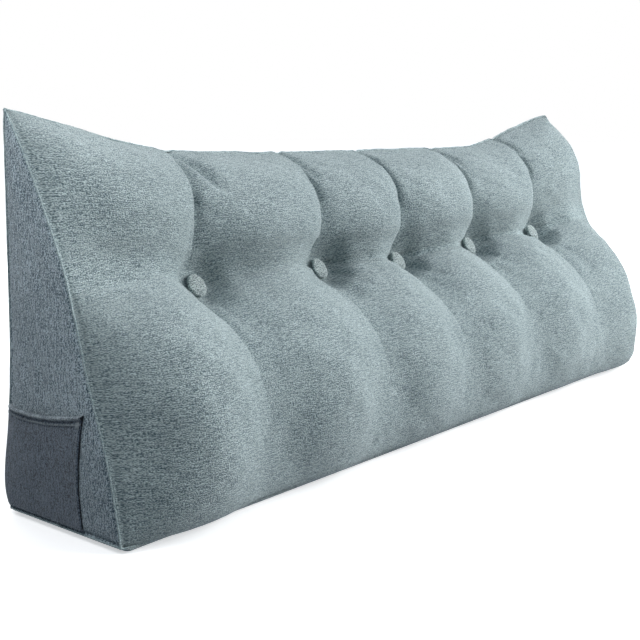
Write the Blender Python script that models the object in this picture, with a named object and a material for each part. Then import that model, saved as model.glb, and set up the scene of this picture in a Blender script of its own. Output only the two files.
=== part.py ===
"""Backrest pillow: a long wedge cushion with five covered buttons and a side pocket.

Metres, +Z up. The pillow stands on its flat base with its length along X.
The tufted front faces -Y, the plain back faces +Y and the pocket is on the -X end.
The origin is at the middle of the base.
"""

import math

import bmesh
import bpy
import numpy as np
from mathutils import Vector
from mathutils.bvhtree import BVHTree

# Driving sizes of the cushion
LENGTH = 1.350
EAR_HEIGHT = 0.511
MIDDLE_HEIGHT = 0.448
TOP_SEAM_Y = 0.117
BASE_SEAM_HEIGHT = 0.007
BASE_ROLL = 0.013
ROLL_IN = 0.35
ROLL_UP = 0.20
BACK_FOOT = 0.022
END_SWELL = 0.008
BACK_SWELL = 0.020

# The ears rise over the last stretch of the top seam
EAR_REACH = 0.345
EAR_EASE = 1.3

# Buttons and their seats
BUTTON_RADIUS = 0.0165
BUTTON_RIM = 0.0040
BUTTON_DOME = 0.0035
BUTTON_ROUND = 0.0015
BUTTON_STEPS = 28
SEAT_RADIUS = 0.019
SEAT_BLEND = 0.046
LIFT_STEP = 0.0001
WAIST_LIFT = 0.018
END_WAIST_HEIGHT = 0.290

# Pocket on the left end
POCKET_FOOT = 0.010
POCKET_BACK_INSET = 0.003
POCKET_TOP = 0.147
POCKET_TOP_RISE = 0.006
POCKET_TOP_SAG = 0.006
POCKET_FRONT = -0.141
POCKET_FRONT_BOW = 1.0
POCKET_BOW_HEIGHT = 0.050
POCKET_CLOTH = 0.0020
HEM_CLOTH = 0.0030
HEM_WIDTH = 0.011
POCKET_SLACK = 0.0012

# Clearance between pieces that touch
GAP = 0.0003

# Front profile from the top seam to the front base seam.
# level: 1 at the top seam, 0 at the waist, -1 at the base seam.
# crown, last_crown, crease, left_end and right_end: distance from the top seam plane
# towards -Y in the middle of an inner lobe, in the middle of an end lobe, along a
# crease and along each end seam.
# power: how squarely a lobe rounds over between its creases.
# soft: how far the crease opens into a rounded valley.
FRONT_COLUMNS = (
    "level", "crown", "last_crown", "crease", "left_end", "right_end", "power", "soft"
)
FRONT = (
    (1.000, 0.000, 0.000, 0.000, 0.003, 0.003, 3.0, 0.00),
    (0.985, 0.020, 0.017, 0.008, 0.006, 0.006, 3.0, 0.00),
    (0.940, 0.048, 0.043, 0.030, 0.013, 0.013, 3.0, 0.00),
    (0.840, 0.082, 0.078, 0.057, 0.028, 0.028, 3.0, 0.00),
    (0.690, 0.114, 0.106, 0.081, 0.049, 0.049, 3.0, 0.00),
    (0.500, 0.136, 0.121, 0.092, 0.073, 0.070, 3.0, 0.00),
    (0.310, 0.144, 0.122, 0.093, 0.095, 0.084, 2.8, 0.05),
    (0.130, 0.138, 0.123, 0.090, 0.114, 0.096, 2.4, 0.30),
    (0.000, 0.138, 0.137, 0.092, 0.124, 0.107, 2.1, 0.50),
    (-0.090, 0.167, 0.167, 0.124, 0.132, 0.120, 2.0, 0.45),
    (-0.190, 0.202, 0.199, 0.165, 0.141, 0.134, 2.0, 0.35),
    (-0.290, 0.227, 0.223, 0.196, 0.149, 0.146, 2.0, 0.45),
    (-0.400, 0.246, 0.241, 0.216, 0.159, 0.159, 2.0, 0.70),
    (-0.540, 0.258, 0.252, 0.228, 0.174, 0.174, 2.0, 0.90),
    (-0.690, 0.261, 0.257, 0.234, 0.188, 0.188, 2.0, 1.00),
    (-0.820, 0.257, 0.254, 0.235, 0.197, 0.197, 2.1, 1.00),
    (-0.920, 0.247, 0.246, 0.230, 0.203, 0.203, 2.2, 1.00),
    (-0.980, 0.232, 0.232, 0.221, 0.206, 0.206, 2.4, 1.00),
    (-1.000, 0.214, 0.214, 0.211, 0.207, 0.207, 2.6, 1.00),
)

# Row of the front profile that holds the waist, where the buttons sit
WAIST_ROW = 8

# Back profile from the back base seam to the top seam.
# rise: share of the height. swell: share of BACK_SWELL. lean: share of BACK_FOOT.
BACK_COLUMNS = ("rise", "swell", "lean")
BACK = (
    (0.00, 0.00, 0.90),
    (0.04, 0.34, 1.00),
    (0.12, 0.60, 0.80),
    (0.24, 0.82, 0.34),
    (0.40, 0.96, 0.03),
    (0.60, 1.00, 0.00),
    (0.80, 0.88, 0.00),
    (0.93, 0.55, 0.00),
    (1.00, 0.00, 0.00),
)

# One row for each crease, from the left end to the right end.
# x and z: its button. upper and lower: how deep the crease is above and below the
# button, as a share of the profile. lean_up and lean_down: how far the crease wanders
# along X by the time it reaches a seam. turn and tilt: the button's face, in degrees.
CREASE_COLUMNS = ("x", "z", "upper", "lower", "lean_up", "lean_down", "turn", "tilt")
CREASES = (
    (-0.446, 0.273, 1.00, 1.10, 0.008, 0.004, 8.0, 31.0),
    (-0.190, 0.270, 0.90, 0.95, 0.003, -0.004, 9.0, 30.0),
    (0.011, 0.262, 0.90, 0.75, 0.000, 0.005, 7.0, 32.0),
    (0.232, 0.270, 1.00, 0.95, 0.003, -0.003, 8.0, 30.0),
    (0.454, 0.275, 0.95, 0.50, 0.000, 0.004, 6.0, 31.0),
)

# One row for each lobe between two creases or between a crease and an end.
# upper and lower: how far its crown stands out above and below the waist.
LOBE_COLUMNS = ("upper", "lower")
LOBES = (
    (0.96, 1.02),
    (0.98, 1.00),
    (1.00, 0.99),
    (0.99, 1.00),
    (0.97, 0.99),
    (1.00, 1.00),
)

# Edges sharper than this stay crisp, in degrees
SHARP_ANGLE = 38.0

# Middle of an end panel, from the top seam plane and from the ground, and how its
# swell falls off towards the seam
CAP_CENTRE = (0.075, 0.190)
CAP_POWER = 3.0

# How finely the cover and the pocket are divided
LOBE_STEPS = 10
PROFILE_STEPS = 2
BASE_STEPS = 5
END_RINGS = (0.93, 0.78, 0.55, 0.28)
POCKET_ACROSS = 12
POCKET_ROWS = (0.0, 0.15, 0.32, 0.50, 0.68, 0.84)
HEM_STEP = 0.01
DOME_STEPS = 5

# Colour, roughness and metallic value of each finish
FINISHES = {
    "cover": ((0.270, 0.352, 0.376, 1.0), 0.93, 0.0),
    "button": ((0.300, 0.372, 0.384, 1.0), 0.90, 0.0),
    "pocket": ((0.170, 0.226, 0.256, 1.0), 0.94, 0.0),
}


def entry(row, names, name):
    """Value in one named column of a table's row."""
    return row[names.index(name)]


def column(rows, names, name):
    """Values of one named column of a table, from its first row to its last."""
    return np.array([entry(row, names, name) for row in rows])


def above_and_below(above, row, names):
    """The row's upper value for levels above the waist and its lower value below."""
    return np.where(above, entry(row, names, "upper"), entry(row, names, "lower"))


def through(values, places):
    """Smooth curve through the values at whole numbers, read at the given places."""
    last = len(values) - 1
    start = np.clip(np.floor(places).astype(int), 0, last - 1)
    t = places - start
    before = values[np.maximum(start - 1, 0)]
    here = values[start]
    after = values[start + 1]
    beyond = values[np.minimum(start + 2, last)]
    bend = 2.0 * before - 5.0 * here + 4.0 * after - beyond
    twist = 3.0 * (here - after) + beyond - before
    return 0.5 * (2.0 * here + (after - before) * t + bend * t**2 + twist * t**3)


def seam_height(x):
    """Height of the top seam: level in the middle, rising to an ear at each end."""
    reach = np.clip((np.abs(x) - (LENGTH / 2 - EAR_REACH)) / EAR_REACH, 0.0, 1.0)
    rise = reach**2 * (1.0 + EAR_EASE * (1.0 - reach))
    return MIDDLE_HEIGHT + (EAR_HEIGHT - MIDDLE_HEIGHT) * rise


def end_nearness(x, width):
    """1 at an end seam, falling smoothly to 0 at the given width inside it."""
    inside = np.clip((LENGTH / 2 - np.abs(x)) / width, 0.0, 1.0)
    return (1.0 - inside) ** 2


def borders(level):
    """X of the two end seams and of every crease, for each level of the profile."""
    x = column(CREASES, CREASE_COLUMNS, "x")
    up = column(CREASES, CREASE_COLUMNS, "lean_up")
    down = column(CREASES, CREASE_COLUMNS, "lean_down")
    crease = x + np.outer(np.clip(level, 0, 1), up) + np.outer(np.clip(-level, 0, 1), down)
    end = np.full((len(level), 1), LENGTH / 2)
    return np.hstack((-end, crease, end))


def front_grid():
    """Front panel as a grid of points: one column for each X, one row for each level."""
    places = np.linspace(0.0, len(FRONT) - 1.0, PROFILE_STEPS * (len(FRONT) - 1) + 1)
    level, inner_crown, last_crown, crease, left_end, right_end, power, soft = (
        through(column(FRONT, FRONT_COLUMNS, name), places) for name in FRONT_COLUMNS
    )
    edge_x = borders(level)
    above = level >= 0.0
    columns = []
    for lobe in range(len(LOBES)):
        crown = last_crown if lobe in (0, len(LOBES) - 1) else inner_crown
        crown = crown * above_and_below(above, LOBES[lobe], LOBE_COLUMNS)
        sides = []
        for border in (lobe - 1, lobe):
            if 0 <= border < len(CREASES):
                row = CREASES[border]
                out = crown + (crease - crown) * above_and_below(above, row, CREASE_COLUMNS)
                sides.append((out, entry(row, CREASE_COLUMNS, "z"), soft))
            else:
                out = left_end if border < 0 else right_end
                sides.append((out, END_WAIST_HEIGHT, np.zeros_like(soft)))
        first = 0 if lobe == 0 else 1
        for step in range(first, LOBE_STEPS + 1):
            share = 0.5 - 0.5 * math.cos(math.pi * step / LOBE_STEPS)
            across = 2.0 * share - 1.0
            side_out, side_waist, opening = sides[0] if across < 0.0 else sides[1]
            valley = 0.5 - 0.5 * math.cos(math.pi * across)
            fall = (1.0 - opening) * abs(across) ** power + opening * valley
            out = crown + (side_out - crown) * fall
            x = edge_x[:, lobe] + share * (edge_x[:, lobe + 1] - edge_x[:, lobe])
            middle_waist = 0.5 * (sides[0][1] + sides[1][1]) + WAIST_LIFT
            waist = middle_waist + (side_waist - middle_waist) * across**2
            height = np.where(
                above,
                waist + level * (seam_height(x) - waist),
                waist + level * (waist - BASE_SEAM_HEIGHT),
            )
            columns.append(np.stack((x, TOP_SEAM_Y - out, height), axis=-1))
    return np.array(columns)


def button_frame(row):
    """Middle of a button's seat and the direction that its face looks in."""
    turn = math.radians(entry(row, CREASE_COLUMNS, "turn"))
    tilt = math.radians(entry(row, CREASE_COLUMNS, "tilt"))
    level = math.cos(tilt)
    face = Vector((math.sin(turn) * level, -math.cos(turn) * level, math.sin(tilt)))
    out = entry(FRONT[WAIST_ROW], FRONT_COLUMNS, "crease")
    x = entry(row, CREASE_COLUMNS, "x")
    z = entry(row, CREASE_COLUMNS, "z")
    return Vector((x, TOP_SEAM_Y - out, z)), face


def press_seats(points):
    """Press a flat seat into the front at each button and blend it into the folds."""
    for row in CREASES:
        seat, face = (np.array(v) for v in button_frame(row))
        offset = points - seat
        height = offset @ face
        radius = np.linalg.norm(offset - height[..., None] * face, axis=-1)
        height = np.maximum(height, 0.0)
        reach = np.clip((SEAT_BLEND - radius) / (SEAT_BLEND - SEAT_RADIUS), 0.0, 1.0)
        hold = reach**2 * (3.0 - 2.0 * reach)
        points = points - (height * hold)[..., None] * face
    return points


def base_and_back(x):
    """Base from the front seam to the back seam, then the back up to the top seam."""
    near_end = end_nearness(x, BASE_ROLL)
    middle = entry(FRONT[-1], FRONT_COLUMNS, "crown")
    end = entry(FRONT[-1], FRONT_COLUMNS, "left_end")
    front = TOP_SEAM_Y - middle - (end - middle) * near_end
    back = TOP_SEAM_Y + entry(BACK[0], BACK_COLUMNS, "lean") * BACK_FOOT
    ground = BASE_SEAM_HEIGHT * near_end
    roll = ROLL_IN * BASE_ROLL
    roll_height = ROLL_UP * BASE_SEAM_HEIGHT + (1.0 - ROLL_UP) * ground
    points = [(x, front + roll, roll_height)]
    for step in range(BASE_STEPS + 1):
        share = step / BASE_STEPS
        y = front + BASE_ROLL + share * (back - front - 2.0 * BASE_ROLL)
        points.append((x, y, ground))
    points.append((x, back - roll, roll_height))
    fullness = 1.0 - end_nearness(x, EAR_REACH) ** 2
    top = seam_height(x)
    for rise, swell, foot in BACK[:-1]:
        y = TOP_SEAM_Y + foot * BACK_FOOT + swell * BACK_SWELL * fullness
        points.append((x, y, BASE_SEAM_HEIGHT + rise * (top - BASE_SEAM_HEIGHT)))
    return np.array(points)


def cover_sections():
    """Closed sections of the cushion from the left end seam to the right end seam."""
    front = press_seats(front_grid())
    rest = np.array([base_and_back(float(rows[0, 0])) for rows in front])
    return np.concatenate((front, rest), axis=1)


def end_radius(outline, y, z):
    """How near (y, z) lies to the end seam: 0 in the middle of the panel, 1 on the seam."""
    centre_y = TOP_SEAM_Y - CAP_CENTRE[0]
    edge_y = outline[:, 1] - centre_y
    edge_z = outline[:, 2] - CAP_CENTRE[1]
    angle = np.arctan2(edge_z, edge_y)
    order = np.argsort(angle)
    reach = np.interp(
        np.arctan2(z - CAP_CENTRE[1], y - centre_y),
        angle[order],
        np.hypot(edge_y, edge_z)[order],
        period=2.0 * math.pi,
    )
    return np.hypot(y - centre_y, z - CAP_CENTRE[1]) / reach


def end_swell(radius):
    """How far an end panel swells beyond its seam."""
    return END_SWELL * (1.0 - np.clip(radius, 0.0, 1.0) ** CAP_POWER)


def new_object(name, mesh, finish):
    """Object with its own Principled material, added to the scene."""
    colour, roughness, metallic = FINISHES[finish]
    material = bpy.data.materials.new(name + "_cloth")
    material.use_nodes = True
    shader = material.node_tree.nodes["Principled BSDF"]
    shader.inputs["Base Color"].default_value = colour
    shader.inputs["Roughness"].default_value = roughness
    shader.inputs["Metallic"].default_value = metallic
    mesh.materials.append(material)
    mesh.shade_smooth()
    mesh.set_sharp_from_angle(angle=math.radians(SHARP_ANGLE))
    thing = bpy.data.objects.new(name, mesh)
    bpy.context.scene.collection.objects.link(thing)
    return thing


def mesh_of(name, vertices, faces):
    """Mesh of the given vertices and faces, with its faces turned outwards."""
    shape = bmesh.new()
    corners = [shape.verts.new(tuple(v)) for v in vertices]
    for face in faces:
        shape.faces.new([corners[i] for i in face])
    bmesh.ops.recalc_face_normals(shape, faces=shape.faces)
    mesh = bpy.data.meshes.new(name)
    shape.to_mesh(mesh)
    shape.free()
    return mesh


def make_pillow(sections):
    """The filled cushion: its sections joined in turn and closed by the end panels."""
    count, around = sections.shape[:2]
    vertices = list(sections.reshape(-1, 3))
    faces = []
    for i in range(count - 1):
        for j in range(around):
            k = (j + 1) % around
            faces.append((i * around + j, i * around + k, (i + 1) * around + k, (i + 1) * around + j))
    centre = np.array((0.0, TOP_SEAM_Y - CAP_CENTRE[0], CAP_CENTRE[1]))
    for side, last in ((-1.0, 0), (1.0, count - 1)):
        outline = sections[last]
        ring = [last * around + j for j in range(around)]
        for radius in END_RINGS:
            points = centre + radius * (outline - centre)
            points[:, 0] = side * (LENGTH / 2 + end_swell(radius))
            inner = list(range(len(vertices), len(vertices) + around))
            vertices.extend(points)
            for j in range(around):
                k = (j + 1) % around
                faces.append((ring[j], ring[k], inner[k], inner[j]))
            ring = inner
        vertices.append((side * (LENGTH / 2 + END_SWELL), centre[1], centre[2]))
        for j in range(around):
            faces.append((ring[j], ring[(j + 1) % around], len(vertices) - 1))
    return new_object("pillow", mesh_of("pillow", vertices, faces), "cover")


def button_profile():
    """Half outline of a button: flat back, upright rim and domed face."""
    side = BUTTON_RADIUS - BUTTON_ROUND
    points = [(0.0, 0.0), (side, 0.0)]
    points += [(BUTTON_RADIUS, BUTTON_ROUND), (BUTTON_RADIUS, BUTTON_RIM)]
    for step in range(1, DOME_STEPS):
        angle = 0.5 * math.pi * step / DOME_STEPS
        points.append((BUTTON_RADIUS * math.cos(angle), BUTTON_RIM + BUTTON_DOME * math.sin(angle)))
    points.append((0.0, BUTTON_RIM + BUTTON_DOME))
    return points


def button_mesh():
    """Button turned about its own Z axis, with its back at z = 0."""
    shape = bmesh.new()
    corners = [shape.verts.new((r, 0.0, z)) for r, z in button_profile()]
    edges = [shape.edges.new(pair) for pair in zip(corners, corners[1:])]
    bmesh.ops.spin(
        shape,
        geom=corners + edges,
        cent=(0.0, 0.0, 0.0),
        axis=(0.0, 0.0, 1.0),
        angle=2.0 * math.pi,
        steps=BUTTON_STEPS,
        use_merge=True,
    )
    bmesh.ops.remove_doubles(shape, verts=shape.verts, dist=1e-6)
    bmesh.ops.recalc_face_normals(shape, faces=shape.faces)
    mesh = bpy.data.meshes.new("button")
    shape.to_mesh(mesh)
    shape.free()
    return mesh


def resting_lift(cover, mesh, turn, seat, face):
    """How far a button's back stands off its seat's middle when it just clears the cloth."""
    lift = -BUTTON_RIM
    mesh.calc_loop_triangles()
    triangles = [tuple(triangle.vertices) for triangle in mesh.loop_triangles]
    while lift < SEAT_BLEND:
        corners = [seat + face * lift + turn @ vertex.co for vertex in mesh.vertices]
        if not cover.overlap(BVHTree.FromPolygons(corners, triangles)):
            break
        lift += LIFT_STEP
    return lift


def make_buttons(pillow):
    """Five covered buttons, each resting a hair above its seat in the tufted front."""
    pillow.data.calc_loop_triangles()
    cover = BVHTree.FromPolygons(
        [vertex.co for vertex in pillow.data.vertices],
        [tuple(triangle.vertices) for triangle in pillow.data.loop_triangles],
    )
    for number, row in enumerate(CREASES, start=1):
        seat, face = button_frame(row)
        turn = face.to_track_quat("Z", "Y")
        mesh = button_mesh()
        lift = resting_lift(cover, mesh, turn.to_matrix(), seat, face)
        button = new_object(f"button_{number}", mesh, "button")
        button.rotation_mode = "QUATERNION"
        button.rotation_quaternion = turn
        button.location = seat + face * (lift + GAP)


def pocket_place(outline, across, up):
    """(y, z) on the end panel: across runs from the back seam, up from the base seam."""
    top = POCKET_TOP + POCKET_TOP_RISE * across - POCKET_TOP_SAG * 4.0 * across * (1.0 - across)
    z = POCKET_FOOT + up * (top - POCKET_FOOT)
    back_edge = outline[-len(BACK) + 1:]
    back = np.interp(z, back_edge[:, 2], back_edge[:, 1]) - POCKET_BACK_INSET
    bow = POCKET_FRONT_BOW * (z - POCKET_BOW_HEIGHT) ** 2
    front = TOP_SEAM_Y + POCKET_FRONT - bow
    return back + across * (front - back), z


def make_pocket(outline):
    """Pocket sheet on the left end panel, with a thicker hem along its mouth."""
    height = POCKET_TOP - POCKET_FOOT
    hem = 1.0 - HEM_WIDTH / height
    rows = POCKET_ROWS + (hem - HEM_STEP, hem + HEM_STEP, 1.0)
    across, up = np.meshgrid(np.linspace(0.0, 1.0, POCKET_ACROSS + 1), rows)
    y, z = pocket_place(outline, across, up)
    panel = LENGTH / 2 + end_swell(end_radius(outline, y, z))
    slack = POCKET_SLACK * np.sin(math.pi * across) * np.sin(math.pi * up)
    cloth = np.where(up > hem, HEM_CLOTH, POCKET_CLOTH)
    inner = np.stack((-(panel + GAP + slack), y, z), axis=-1).reshape(-1, 3)
    outer = np.stack((-(panel + GAP + slack + cloth), y, z), axis=-1).reshape(-1, 3)
    wide = POCKET_ACROSS + 1
    count = len(inner)
    faces = []
    for i in range(len(rows) - 1):
        for j in range(POCKET_ACROSS):
            a, b, c, d = i * wide + j, i * wide + j + 1, (i + 1) * wide + j + 1, (i + 1) * wide + j
            faces.append((a, b, c, d))
            faces.append((a + count, d + count, c + count, b + count))
    bottom = list(range(wide))
    front = [i * wide + POCKET_ACROSS for i in range(len(rows))]
    top = [(len(rows) - 1) * wide + j for j in range(wide)][::-1]
    back = [i * wide for i in range(len(rows))][::-1]
    rim = bottom + front[1:] + top[1:] + back[1:]
    for a, b in zip(rim, rim[1:]):
        faces.append((a, b, b + count, a + count))
    return new_object("pocket", mesh_of("pocket", np.vstack((inner, outer)), faces), "pocket")


def main():
    """Clear the scene and build the cushion, its buttons and its pocket."""
    for thing in list(bpy.data.objects):
        bpy.data.objects.remove(thing)
    sections = cover_sections()
    pillow = make_pillow(sections)
    make_buttons(pillow)
    make_pocket(sections[0])


main()
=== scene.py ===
"""Looks of the backrest pillow: woven cover, seams, covered buttons and side pocket.

Metres, +Z up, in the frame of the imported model. The tufted front faces -Y and the
pocket is on the -X end. Surfaces are grids of points worked out as whole arrays.
"""

import math

import bpy
import numpy as np
from bpy.props import FloatProperty, FloatVectorProperty, IntProperty, PointerProperty
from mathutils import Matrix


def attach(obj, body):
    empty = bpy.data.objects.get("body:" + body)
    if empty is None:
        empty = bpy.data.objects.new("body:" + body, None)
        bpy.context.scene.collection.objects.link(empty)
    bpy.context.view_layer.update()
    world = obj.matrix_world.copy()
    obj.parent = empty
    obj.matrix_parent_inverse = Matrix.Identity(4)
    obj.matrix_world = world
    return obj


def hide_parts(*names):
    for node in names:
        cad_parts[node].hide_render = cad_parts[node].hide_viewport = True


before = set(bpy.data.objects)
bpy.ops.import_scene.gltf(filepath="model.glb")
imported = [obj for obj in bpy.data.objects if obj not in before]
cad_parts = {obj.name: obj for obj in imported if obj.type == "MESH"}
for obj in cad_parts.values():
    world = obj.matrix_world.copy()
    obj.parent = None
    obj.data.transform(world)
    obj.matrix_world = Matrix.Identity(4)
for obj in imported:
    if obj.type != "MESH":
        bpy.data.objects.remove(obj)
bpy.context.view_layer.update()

bl_info = {
    "name": "Backrest pillow",
    "version": (1, 0, 0),
    "blender": (4, 5, 0),
    "location": "3D View > Sidebar > Backrest",
    "description": "Builds the cover, seams, buttons, pocket and stage of a backrest pillow",
    "category": "Object",
}

# Sizes of the cushion, as packed
LENGTH = 1.350
EAR_HEIGHT = 0.511
MIDDLE_HEIGHT = 0.448
TOP_SEAM_Y = 0.117
BASE_SEAM_HEIGHT = 0.007
BASE_ROLL = 0.013
BACK_FOOT = 0.022
FOOT_CORNER = 0.030
BACK_SWELL = 0.020
END_SWELL = 0.008
EAR_REACH = 0.345
EAR_EASE = 1.3
LEFT_EAR_EASE = 1.0
WAIST_LIFT = 0.018
END_WAIST_HEIGHT = 0.290
CAP_CENTRE = (0.042, 0.190)
CAP_POWER = 3.0
SEAT_OUT = 0.092
SEAT_RADIUS = 0.020
SEAT_BLEND = 0.047
BUTTON_RADIUS = 0.0165

# Front profile: level (1 top seam, 0 waist, -1 base seam), then the distance from the
# top seam plane at the crown, the crown of an end lobe, a crease, the left and right
# end seams, then how squarely the lobe rounds over and how far the crease opens
FRONT = np.array((
    (1.000, 0.000, 0.000, 0.000, 0.003, 0.003, 3.0, 0.00),
    (0.985, 0.020, 0.017, 0.011, 0.006, 0.006, 3.0, 0.00),
    (0.940, 0.048, 0.043, 0.036, 0.013, 0.013, 3.0, 0.00),
    (0.840, 0.082, 0.078, 0.064, 0.028, 0.028, 3.0, 0.00),
    (0.690, 0.114, 0.106, 0.087, 0.049, 0.049, 3.0, 0.00),
    (0.500, 0.136, 0.121, 0.096, 0.073, 0.070, 3.0, 0.00),
    (0.310, 0.144, 0.122, 0.093, 0.095, 0.084, 2.8, 0.05),
    (0.130, 0.138, 0.123, 0.090, 0.114, 0.096, 2.4, 0.30),
    (0.000, 0.138, 0.137, 0.092, 0.124, 0.107, 2.1, 0.50),
    (-0.090, 0.167, 0.167, 0.124, 0.132, 0.120, 2.0, 0.45),
    (-0.190, 0.202, 0.199, 0.165, 0.141, 0.134, 2.0, 0.35),
    (-0.290, 0.227, 0.223, 0.196, 0.149, 0.146, 2.0, 0.45),
    (-0.400, 0.246, 0.241, 0.216, 0.159, 0.159, 2.0, 0.70),
    (-0.540, 0.258, 0.252, 0.228, 0.174, 0.174, 2.0, 0.90),
    (-0.690, 0.261, 0.257, 0.234, 0.188, 0.188, 2.0, 1.00),
    (-0.820, 0.257, 0.254, 0.235, 0.197, 0.197, 2.1, 1.00),
    (-0.920, 0.247, 0.246, 0.230, 0.203, 0.203, 2.2, 1.00),
    (-0.980, 0.232, 0.232, 0.221, 0.206, 0.206, 2.4, 1.00),
    (-1.000, 0.214, 0.214, 0.211, 0.207, 0.207, 2.6, 1.00),
))

# Back profile: share of the height, share of the swell, share of the foot
BACK = np.array((
    (0.00, 0.00, 0.90),
    (0.04, 0.34, 1.00),
    (0.12, 0.60, 0.80),
    (0.24, 0.82, 0.34),
    (0.40, 0.96, 0.03),
    (0.60, 1.00, 0.00),
    (0.80, 0.88, 0.00),
    (0.93, 0.55, 0.00),
    (1.00, 0.00, 0.00),
))

# Creases: x, z of the button, depth above and below it, drift along X up and down,
# then the turn and tilt of the button's face in degrees
CREASES = np.array((
    (-0.448, 0.273, 1.12, 1.00, 0.022, 0.004, 8.0, 31.0),
    (-0.193, 0.270, 0.90, 0.78, 0.010, -0.004, 9.0, 30.0),
    (0.007, 0.262, 0.90, 0.58, 0.009, 0.005, 7.0, 32.0),
    (0.227, 0.270, 0.95, 0.74, 0.012, -0.003, 8.0, 30.0),
    (0.448, 0.273, 0.90, 0.40, 0.010, 0.004, 6.0, 31.0),
))

# Lobes: how far the crown stands out above and below the waist
LOBES = np.array((
    (0.96, 1.02), (0.98, 0.995), (1.00, 0.985), (0.99, 0.99), (0.97, 1.00), (1.00, 1.02),
))

# Narrow folds that run down from the top seam: level of their upper end, then for each
# the crease number, shift from the crease at the upper and lower end, level of the
# lower end, width to the left and right, and depth
FOLD_TOP = 1.02
FOLDS = (
    (1, 0.000, -0.001, 0.35, 0.0032, 0.0086, 0.0070),
    (1, 0.005, 0.044, 0.63, 0.0060, 0.0110, 0.0090),
    (2, 0.000, 0.000, 0.45, 0.0027, 0.0072, 0.0080),
    (2, 0.006, 0.012, 0.72, 0.0025, 0.0067, 0.0030),
    (3, 0.000, 0.000, 0.38, 0.0027, 0.0072, 0.0085),
    (4, 0.000, 0.000, 0.45, 0.0027, 0.0072, 0.0075),
    (4, 0.006, 0.014, 0.76, 0.0027, 0.0072, 0.0042),
    (4, -0.006, -0.008, 0.84, 0.0027, 0.0072, 0.0026),
    (5, 0.000, 0.000, 0.50, 0.0027, 0.0072, 0.0080),
    (5, 0.005, 0.012, 0.78, 0.0027, 0.0072, 0.0035),
)

# Folds along the waist beside each button: depth and reach to the left and right
WAIST_FOLDS = np.array((
    (0.0020, 0.060, 0.0024, 0.070),
    (0.0014, 0.060, 0.0050, 0.070),
    (0.0064, 0.095, 0.0062, 0.085),
    (0.0064, 0.095, 0.0058, 0.085),
    (0.0062, 0.095, 0.0048, 0.100),
))

# Sewn ridge along each seam, and how far it strays
SEAM_RADIUS = 0.00125
SEAM_WANDER = 0.00016

# How finely the cover is divided
LOBE_STEPS = 64
PROFILE_STEPS = 9
ROLL_STEPS = 6
BASE_STEPS = 6
BACK_STEPS = 4
FRONT_ROWS = PROFILE_STEPS * (len(FRONT) - 1) + 1
BACK_SEAM_ROW = FRONT_ROWS - 1 + 2 * ROLL_STEPS + BASE_STEPS + 1
AROUND = FRONT_ROWS + 2 * ROLL_STEPS + BASE_STEPS + BACK_STEPS * (len(BACK) - 1)
COLUMNS = LOBE_STEPS * len(LOBES) + 1
END_RINGS = 1.0 - np.array((
    0.006, 0.012, 0.018, 0.024, 0.032, 0.045, 0.065, 0.09, 0.12, 0.16, 0.21,
    0.27, 0.33, 0.40, 0.47, 0.54, 0.61, 0.68, 0.75, 0.82, 0.89, 0.95,
))

# Every how many columns and rows the cloth is simulated, its settings, how far from
# the seams and button seats it is held, and how firmly at the back
SETTLE_COLUMNS = 3
SETTLE_ROWS = 3
SETTLE_CLOTH = {
    "vertex_group_mass": "held", "quality": 6, "mass": 0.25, "tension_stiffness": 12.0,
    "compression_stiffness": 12.0, "shear_stiffness": 4.0, "bending_stiffness": 0.3,
    "shrink_min": -0.02, "use_pressure": True, "uniform_pressure_force": 4.0,
}
HOLD_TOP = 0.020
HOLD_BASE = 0.035
HOLD_END = 0.060
HOLD_BACK = 0.5
HOLD_SEAT = 0.058

# Side pocket, measured on the end panel, and how finely it is divided
POCKET_FOOT = 0.0125
POCKET_INSET = 0.003
POCKET_TOP = 0.144
POCKET_HEIGHT = POCKET_TOP - POCKET_FOOT
POCKET_RISE = 0.0105
POCKET_SAG = 0.0055
POCKET_FRONT = -0.140
POCKET_BOW = 0.85
POCKET_BOW_HEIGHT = 0.040
POCKET_GAP = 0.0006
POCKET_WIDTH = 0.150
POCKET_ACROSS = 110
POCKET_UP = 90

# Noises in the yarn: scale along and across the weft, detail, shift and share in the
# tone, then the same for the slow patches
YARN_NOISES = (
    (0.30, 0.55, 2.0, 3.1, 0.9),
    (1.00, 1.00, 2.0, 11.7, 1.5),
    (3.20, 1.10, 1.0, 23.3, 2.1),
)
PATCH_NOISE = (9.0, 13.0, 2.0, 41.9)
PATCH_SHARE = 0.3

# Thread of the stitches, and how finely stitches and buttons are divided
THREAD_STEPS = 7
THREAD_SIDES = 6
THREAD_RADIUS = 0.00075
BUTTON_SIDES = 72

# Floor, sky and where the lights look
FLOOR_REACH = 30.0
FLOOR_LEVEL = -0.0005
FLOOR_GLOW = (0.56, 0.56, 0.56)
SKY_TINT = (0.85, 0.975, 1.13)
WHITE = (1.0, 1.0, 1.0)
MIDDLE = (0.0, -0.1, 0.25)


def yarn_colour(cloth, tone, default):
    """Colour setting for one yarn of a cloth."""
    return FloatVectorProperty(
        name=f"{tone} yarn", description=f"Colour of the {cloth}'s {tone.lower()} yarn",
        subtype="COLOR", size=3, min=0.0, max=1.0, default=default,
    )


def metres(name, description, default, least, most):
    """Length setting with the least and the most that make sense."""
    return FloatProperty(
        name=name, description=description, unit="LENGTH", min=least, max=most, default=default,
    )


def watts(name, description, default):
    """Power setting of one light, in watts."""
    return FloatProperty(name=name, description=description, unit="POWER", min=0.0, default=default)


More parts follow.
